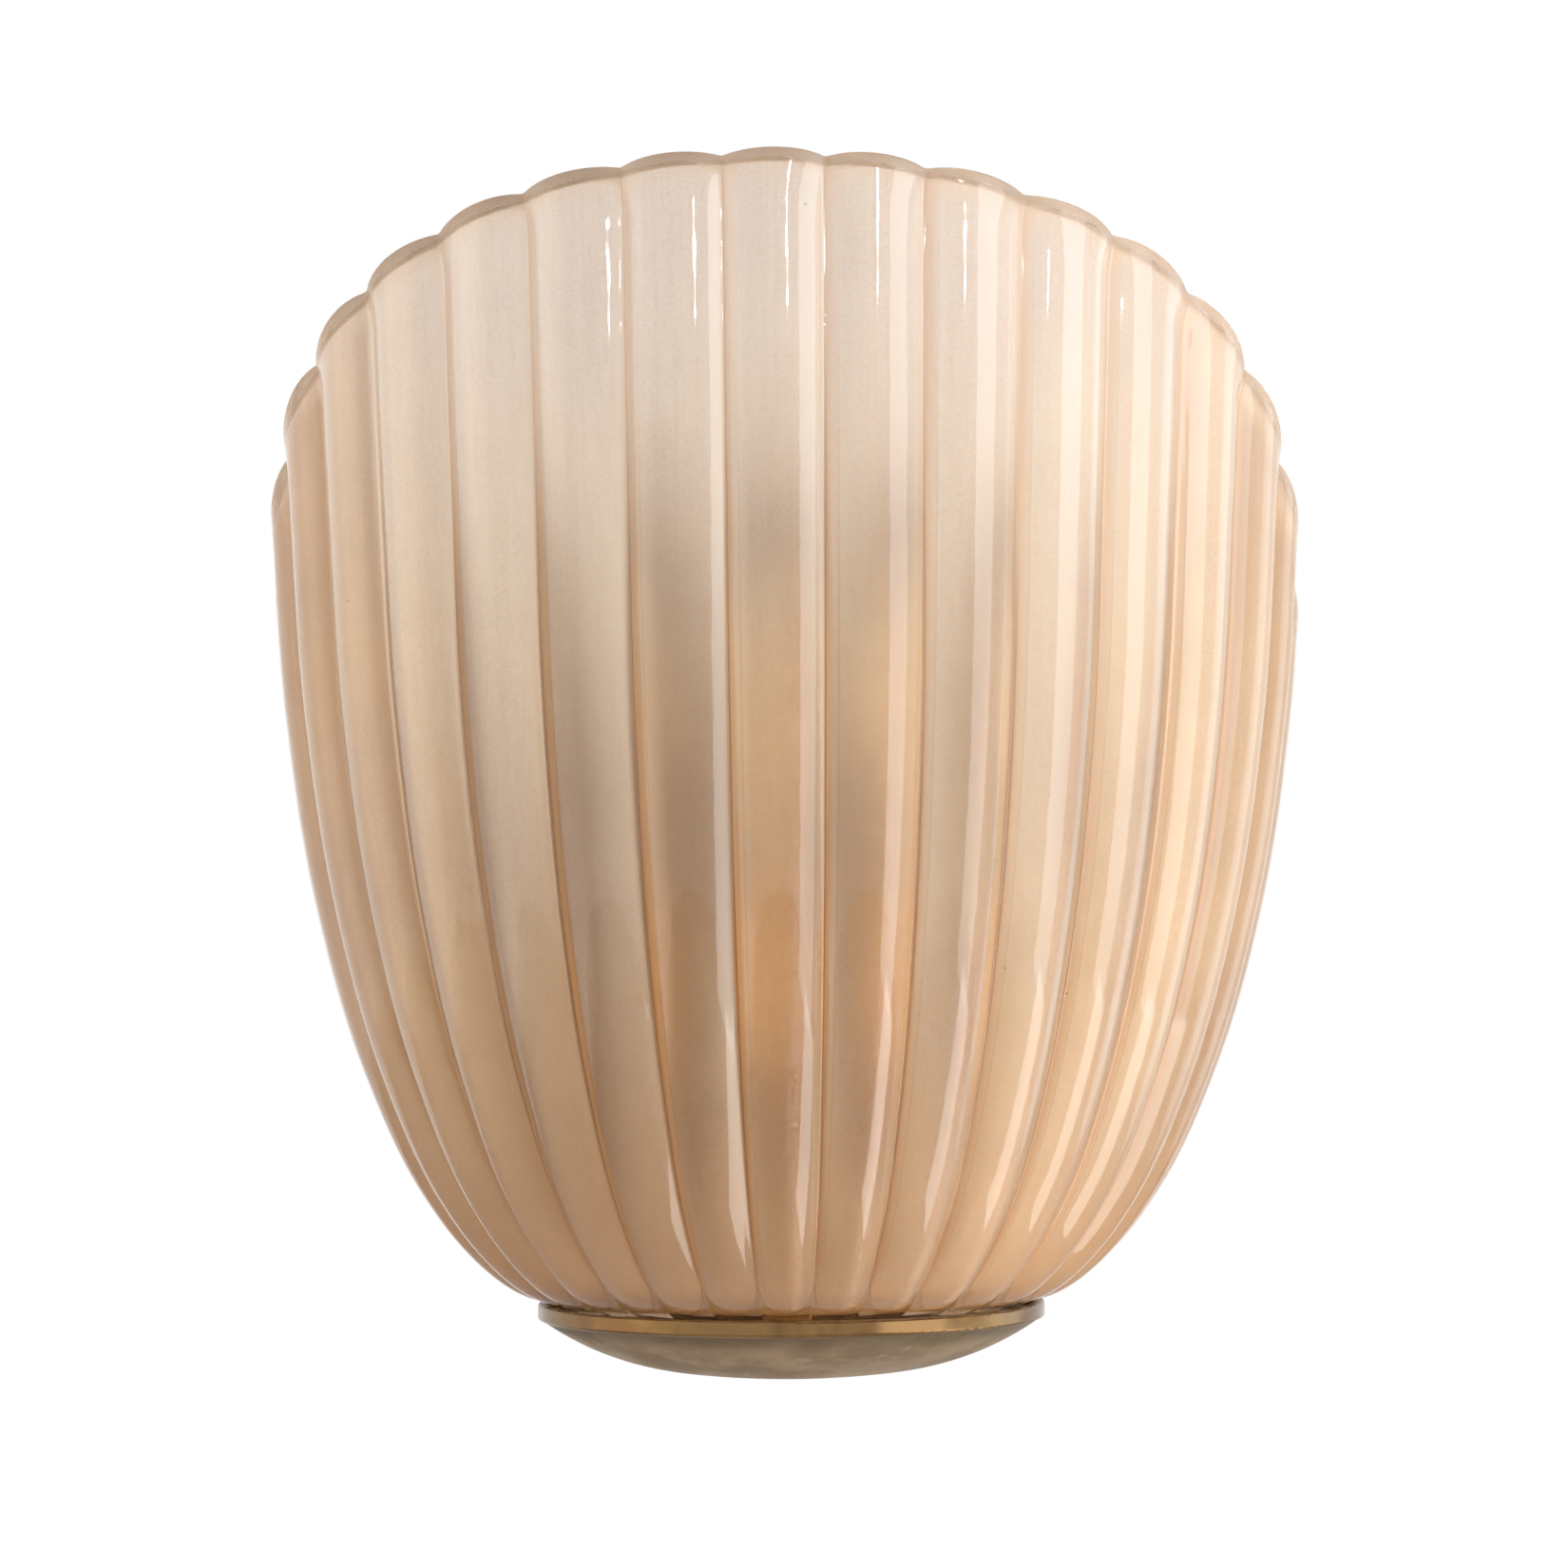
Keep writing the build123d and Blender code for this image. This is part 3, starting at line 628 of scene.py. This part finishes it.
    lines = g.larger(g.larger(groove, footLine), g.larger(seeds, g.product(seam, look["seamHides"])))
    clear = g.span(low, 0, 1, look["clear"], look["lowClear"], smooth=False)
    clear = g.math("SUBTRACT", clear, g.product(paintedSheen, look["sheenHides"]))
    for pattern, most in ((grain, look["grainHides"]), (threads, look["threadHides"])):
        clear = g.math("ADD", clear, g.span(pattern, *noiseClose, -most, most, smooth=False))
    clear = g.math("SUBTRACT", clear, g.product(amber, look["amberHides"]))
    clear = g.span(bare, 0, 1, clear, look["bandClear"], smooth=False)
    clear = g.math("SUBTRACT", clear, g.product(lines, look["lineHides"]), clamp=True)
    final = g.letLampLightIn(g.mixed(clear, scatter, seen), look["lampTint"])
    g.add("ShaderNodeOutputMaterial", {"Surface": final.outputs[0]})
    return material


milkyLayer = makeMilk(milkyGlass(milkLook))
print("shade made:", len(glassShade.data.polygons), "+", len(milkyLayer.data.polygons), "faces")

# what a finish has unless it says otherwise
plainFinish = {
    "stretch": (1, 1, 1),
    "patchSpan": (0.38, 0.62),
    "speckSpan": (0.60, 0.68),
    "speckShare": 0.8,
    "roughParts": (0.6, 0.4),  # the grain's and the patches' part in the roughness
    "roughSpan": (0.2, 0.8),
    "metal": 0.0,
    "coat": 0.0,
    "coatRough": 0.1,
    "sheen": 0.0,
    "bump": 0.2,
}
finishes = {
    "dish_brass": {
        "colours": ((0.37, 0.245, 0.135), (0.25, 0.16, 0.083)), "patch": 0.016,
        "specks": (0.46, 0.36, 0.24), "speckSize": 0.006, "speckShare": 0.5, "grain": 0.0014,
        "rough": (0.42, 0.56), "relief": 0.00012, "metal": 0.75, "stretch": (0.15, 0.15, 1),
        # the lip is polished, its brown darkened as painted shade for the dark room it would reflect, and
        # worn in places; a dark line of painted shade under it fades downwards
        "lip": {
            "height": 0.0045, "soft": 0.9, "colour": (0.17, 0.088, 0.03), "shine": 0.26,
            "worn": (0.32, 0.195, 0.075), "wornShare": 0.5,
            "line": (0.12, 0.08, 0.04), "underLipShadeFoot": 0.009, "underLipShadeShare": 0.7,
        },
    },
    # very dark brass for the wall plate and dome nuts, darkened partly as painted shade so that the plate
    # reads dark through the glass
    "dark_brass": {
        "colours": ((0.13, 0.075, 0.035), (0.08, 0.048, 0.025)), "patch": 0.02,
        "specks": (0.05, 0.03, 0.018), "speckSize": 0.004, "grain": 0.0012,
        "rough": (0.42, 0.6), "relief": 0.0001, "metal": 0.7,
    },
    "pale_brass": {
        "colours": ((0.90, 0.62, 0.34), (0.80, 0.52, 0.26)), "patch": 0.012,
        "specks": (0.34, 0.22, 0.10), "speckSize": 0.003, "grain": 0.0009,
        "rough": (0.3, 0.5), "relief": 0.0001, "metal": 0.5,
    },
    "aged_brass": {
        "colours": ((0.40, 0.25, 0.11), (0.27, 0.17, 0.08)), "patch": 0.02,
        "specks": (0.16, 0.10, 0.05), "speckSize": 0.004, "grain": 0.0012,
        "rough": (0.28, 0.5), "relief": 0.0001, "metal": 0.9,
    },
    "bright_brass": {
        "colours": ((0.78, 0.56, 0.25), (0.66, 0.44, 0.18)), "patch": 0.008,
        "specks": (0.4, 0.27, 0.12), "speckSize": 0.002, "grain": 0.0008,
        "rough": (0.2, 0.38), "relief": 0.0001, "metal": 1.0,
    },
    "felt": {
        "colours": ((0.16, 0.10, 0.06), (0.10, 0.065, 0.04)), "patch": 0.004, "grain": 0.0005,
        "rough": (0.85, 1.0), "bump": 0.8, "relief": 0.0004, "sheen": 0.3,
    },
    "zinc_steel": {
        "colours": ((0.52, 0.53, 0.54), (0.40, 0.41, 0.43)), "patch": 0.006,
        "specks": (0.30, 0.29, 0.27), "speckSize": 0.003, "grain": 0.001,
        "rough": (0.3, 0.5), "relief": 0.0001, "metal": 0.9,
    },
    "porcelain": {
        "colours": ((0.80, 0.77, 0.70), (0.74, 0.70, 0.62)), "patch": 0.01, "grain": 0.002,
        "rough": (0.12, 0.25), "relief": 0.0001, "coat": 0.4,
    },
    "opal_glass": {
        "colours": ((0.95, 0.90, 0.82), (0.90, 0.84, 0.75)), "patch": 0.02, "grain": 0.0008,
        "rough": (0.35, 0.5), "relief": 0.00005,
    },
    "nickel": {
        "colours": ((0.66, 0.64, 0.60), (0.55, 0.53, 0.49)), "patch": 0.006,
        "specks": (0.38, 0.34, 0.28), "speckSize": 0.003, "grain": 0.0008,
        "rough": (0.22, 0.4), "relief": 0.0001, "metal": 1.0,
    },
    "black_glass": {
        "colours": ((0.015, 0.015, 0.02), (0.03, 0.028, 0.03)), "patch": 0.004, "grain": 0.001,
        "rough": (0.12, 0.3), "relief": 0.0001,
    },
    "solder": {
        "colours": ((0.55, 0.55, 0.56), (0.42, 0.42, 0.43)), "patch": 0.002, "grain": 0.0008,
        "rough": (0.3, 0.5), "bump": 0.5, "relief": 0.0002, "metal": 0.9,
    },
    "ivory_plastic": {
        "colours": ((0.74, 0.68, 0.54), (0.66, 0.60, 0.46)), "patch": 0.008, "grain": 0.0007,
        "rough": (0.4, 0.55), "relief": 0.0001,
    },
    "lead_sheath": {
        "colours": ((0.62, 0.52, 0.34), (0.52, 0.42, 0.26)), "patch": 0.006, "grain": 0.0008,
        "rough": (0.35, 0.5), "relief": 0.0001,
    },
    "earth_sheath": {
        "colours": ((0.42, 0.50, 0.08), (0.10, 0.32, 0.08)), "patch": 0.005, "grain": 0.0008,
        "rough": (0.35, 0.5), "relief": 0.0001,
    },
}
# the other pieces take their slot's finish
ownFinish = {
    "brass_dish": "dish_brass",
    "wall_plate": "dark_brass",
    "dome_nuts": "dark_brass",
    "holder_cap": "pale_brass",
    "holder_skirt": "pale_brass",
}


def solidFinish(name, ownLook):
    # blotches of two colours, specks of a third, fine grain in roughness and bump
    look = {**plainFinish, **ownLook}
    material, g = newMaterial(name)
    place, even = g.place(look["stretch"]), g.place()
    patches = g.span(g.noise(even, look["patch"], detail=4.0), *look["patchSpan"])
    colour = g.blend(patches, *(rgba(c) for c in look["colours"]))
    if "specks" in look:
        specks = g.span(g.noise(even, look["speckSize"], detail=5.0, rough=0.65), *look["speckSpan"])
        colour = g.blend(g.product(specks, look["speckShare"]), colour, rgba(look["specks"]))
    grain = g.noise(place, look["grain"], detail=3.0)
    grainPart, patchPart = look["roughParts"]
    rough = g.math("ADD", g.product(grain, grainPart), g.product(patches, patchPart))
    rough = g.span(rough, *look["roughSpan"], *look["rough"], smooth=False)
    if "lip" in look:
        lip = look["lip"]
        # painted shade: the lip darker than the rest of the dish, and a dark band just under it
        drop = g.math("SUBTRACT", lipZ, g.add("ShaderNodeSeparateXYZ", {0: even}).outputs[2])
        onLip = g.span(drop, lip["height"], lip["height"] * lip["soft"])
        underLipShade = g.span(drop, lip["underLipShadeFoot"], lip["height"], toHigh=lip["underLipShadeShare"])
        worn = g.blend(g.product(patches, lip["wornShare"]), rgba(lip["colour"]), rgba(lip["worn"]))
        colour = g.blend(underLipShade, colour, rgba(lip["line"]))
        colour = g.blend(onLip, colour, worn)
        rough = g.math("SUBTRACT", rough, g.product(onLip, lip["shine"]))
    bump = g.add("ShaderNodeBump", {"Height": grain, "Strength": look["bump"], "Distance": look["relief"]})
    shader = g.add("ShaderNodeBsdfPrincipled", {
        "Base Color": colour, "Roughness": rough, "Normal": bump.outputs[0],
        "Metallic": look["metal"], "Coat Weight": look["coat"], "Coat Roughness": look["coatRough"],
        "Sheen Weight": look["sheen"],
    })
    g.add("ShaderNodeOutputMaterial", {"Surface": shader.outputs[0]})
    return material


made = {}
for part in frame["record"]["subparts"]:
    finish = ownFinish.get(part["node"], part["material_slot"])
    if finish not in finishes:
        continue
    if finish not in made:
        made[finish] = solidFinish(finish, finishes[finish])
    mesh = nodes[part["node"]].data
    mesh.materials.clear()
    mesh.materials.append(made[finish])
print("finishes made:", len(made))

studio = {
    "fill": 0.46,  # what the white room gives to matt surfaces
    "fillTint": (1.0, 0.985, 0.97),
    "aim": 0.13,  # lamp height that the panels face
    "topSoft": 0.4,  # a panel's soft edge above and below, as a share of that at its sides
    # azimuth from the camera's side, height, distance, the panel's width and height, radiance,
    # colour, soft edge
    "panels": {
        "keyPanel": (84, 0.0, 1.7, 1.0, 2.2, 0.3, (0.86, 0.94, 1.0), 0.1),
        "stripPanel": (56, 0.0, 1.9, 1.15, 2.4, 3.1, (0.86, 0.94, 1.0), 0.02),
        "lowPanel": (66, -0.80, 0.80, 0.55, 0.8, 3.6, (1.0, 0.97, 0.93), 0.08),
        "fillPanel": (-80, -0.05, 1.8, 2.4, 2.0, 1.05, (1.0, 0.88, 0.71), 0.4),
        "edgePanel": (112, 0.0, 1.7, 1.0, 2.2, 1.8, (0.76, 0.91, 1.0), 0.3),
        "topPanel": (10, 1.6, 0.5, 1.2, 1.2, 0.8, (1.0, 0.99, 0.98), 0.3),
        "smallLamp": (18, 0.147, 2.0, 0.12, 0.018, 135.0, (1.0, 1.0, 1.0), 0),
        "smallLampBelow": (18, 0.113, 2.0, 0.08, 0.008, 120.0, (1.0, 1.0, 1.0), 0),
    },
}


def makePanel(name, azimuth, height, distance, wide, tall, radiance, colour, soft):
    # a rectangle of light at that azimuth and distance from the lamp axis, facing the shade
    light = bpy.data.lights.new(name, "AREA")
    light.shape = "RECTANGLE"
    light.size, light.size_y = wide, tall
    light.energy = radiance * pi * wide * tall
    light.color = colour
    if soft:  # the light falls off towards the panel's borders
        light.use_nodes = True
        g = Graph(light.node_tree)
        across = g.add("ShaderNodeSeparateXYZ", {0: g.add("ShaderNodeNewGeometry").outputs["Parametric"]})
        edges = []
        for k in (0, 1):
            fromMiddle = g.math("ABSOLUTE", g.math("SUBTRACT", across.outputs[k], 0.5))
            edges.append(g.math("SUBTRACT", 0.5, fromMiddle))
        level = g.product(g.span(edges[0], 0, soft), g.span(edges[1], 0, soft * studio["topSoft"]))
        emission = g.add("ShaderNodeEmission", {"Strength": level})
        g.add("ShaderNodeOutputLight", {"Surface": emission.outputs[0]})
    panel = bpy.data.objects.new(name, light)
    a = radians(azimuth)
    place = np.array([sin(a) * distance, axisY - cos(a) * distance, height])
    dx, dy, dz = np.array([0.0, axisY, lipZ + studio["aim"]]) - place
    panel.location = place
    panel.rotation_euler = (pi / 2 - atan2(-dz, sqrt(dx * dx + dy * dy)), 0, atan2(-dx, dy))
    bpy.context.scene.collection.objects.link(panel)


for name, values in studio["panels"].items():
    makePanel(name, *values)

paleFloor = {
    "height": -1.0,
    "radius": 2.4,
    "hole": 0.001,  # share of the radius, at the disc's middle
    "rings": 24,
    "columns": 96,
    "colour": (0.86, 0.85, 0.84),
    "fade": (0.45, 0.97),  # shares of the radius between which it goes over into white
}


def floorMaterial():
    # matt and pale, going over into white towards its border where the camera sees it
    material, g = newMaterial("paleFloor")
    coords = g.add("ShaderNodeSeparateXYZ", {0: g.place()})
    x, y = coords.outputs[0], g.math("SUBTRACT", coords.outputs[1], axisY)
    away = g.math("SQRT", g.math("ADD", g.product(x, x), g.product(y, y)))
    fade = g.span(away, *(paleFloor["radius"] * share for share in paleFloor["fade"]))
    seenFade = g.product(fade, g.add("ShaderNodeLightPath").outputs["Is Camera Ray"])
    matt = g.add("ShaderNodeBsdfDiffuse", {"Color": rgba(paleFloor["colour"])})
    white = g.add("ShaderNodeEmission", {"Color": rgba((1, 1, 1)), "Strength": 1.0})
    g.add("ShaderNodeOutputMaterial", {"Surface": g.mixed(seenFade, matt, white).outputs[0]})
    return material


def makeFloor():
    # a flat disc: rings at even steps around the lamp axis
    rings, columns = paleFloor["rings"], paleFloor["columns"]
    turn = np.linspace(0, 2 * pi, columns + 1)[:-1]
    out = np.linspace(paleFloor["hole"], 1, rings)[:, None] * paleFloor["radius"]
    level = np.full((rings, columns), paleFloor["height"])
    points = np.stack([out * np.cos(turn), out * np.sin(turn) + axisY, level], -1)
    index = np.arange(rings * columns).reshape(rings, columns)
    nextColumn = np.roll(index, -1, axis=1)
    quads = np.stack([index[:-1], index[1:], nextColumn[1:], nextColumn[:-1]], -1).reshape(-1, 4)
    mesh = bpy.data.meshes.new("floor")
    mesh.from_pydata(points.reshape(-1, 3).tolist(), [], quads.tolist())
    mesh.materials.append(floorMaterial())
    floor = bpy.data.objects.new("floor", mesh)
    bpy.context.scene.collection.objects.link(floor)


def makeRoom():
    # matt surfaces get an even fill; camera, glass and metal see a white room, unless after a matt bounce
    world = bpy.data.worlds.new("room")
    bpy.context.scene.world = world
    world.use_nodes = True
    g = Graph(world.node_tree)
    path = g.add("ShaderNodeLightPath").outputs
    shown = g.larger(g.larger(path["Is Camera Ray"], path["Is Transmission Ray"]), path["Is Glossy Ray"])
    shown = g.product(shown, g.math("LESS_THAN", path["Diffuse Depth"], 0.5))
    fill = g.add("ShaderNodeBackground", {"Color": rgba(studio["fillTint"]), "Strength": studio["fill"]})
    white = g.add("ShaderNodeBackground", {"Color": rgba((1, 1, 1)), "Strength": 1.0})
    g.add("ShaderNodeOutputWorld", {"Surface": g.mixed(shown, fill, white).outputs[0]})


makeFloor()
makeRoom()
print("studio made")
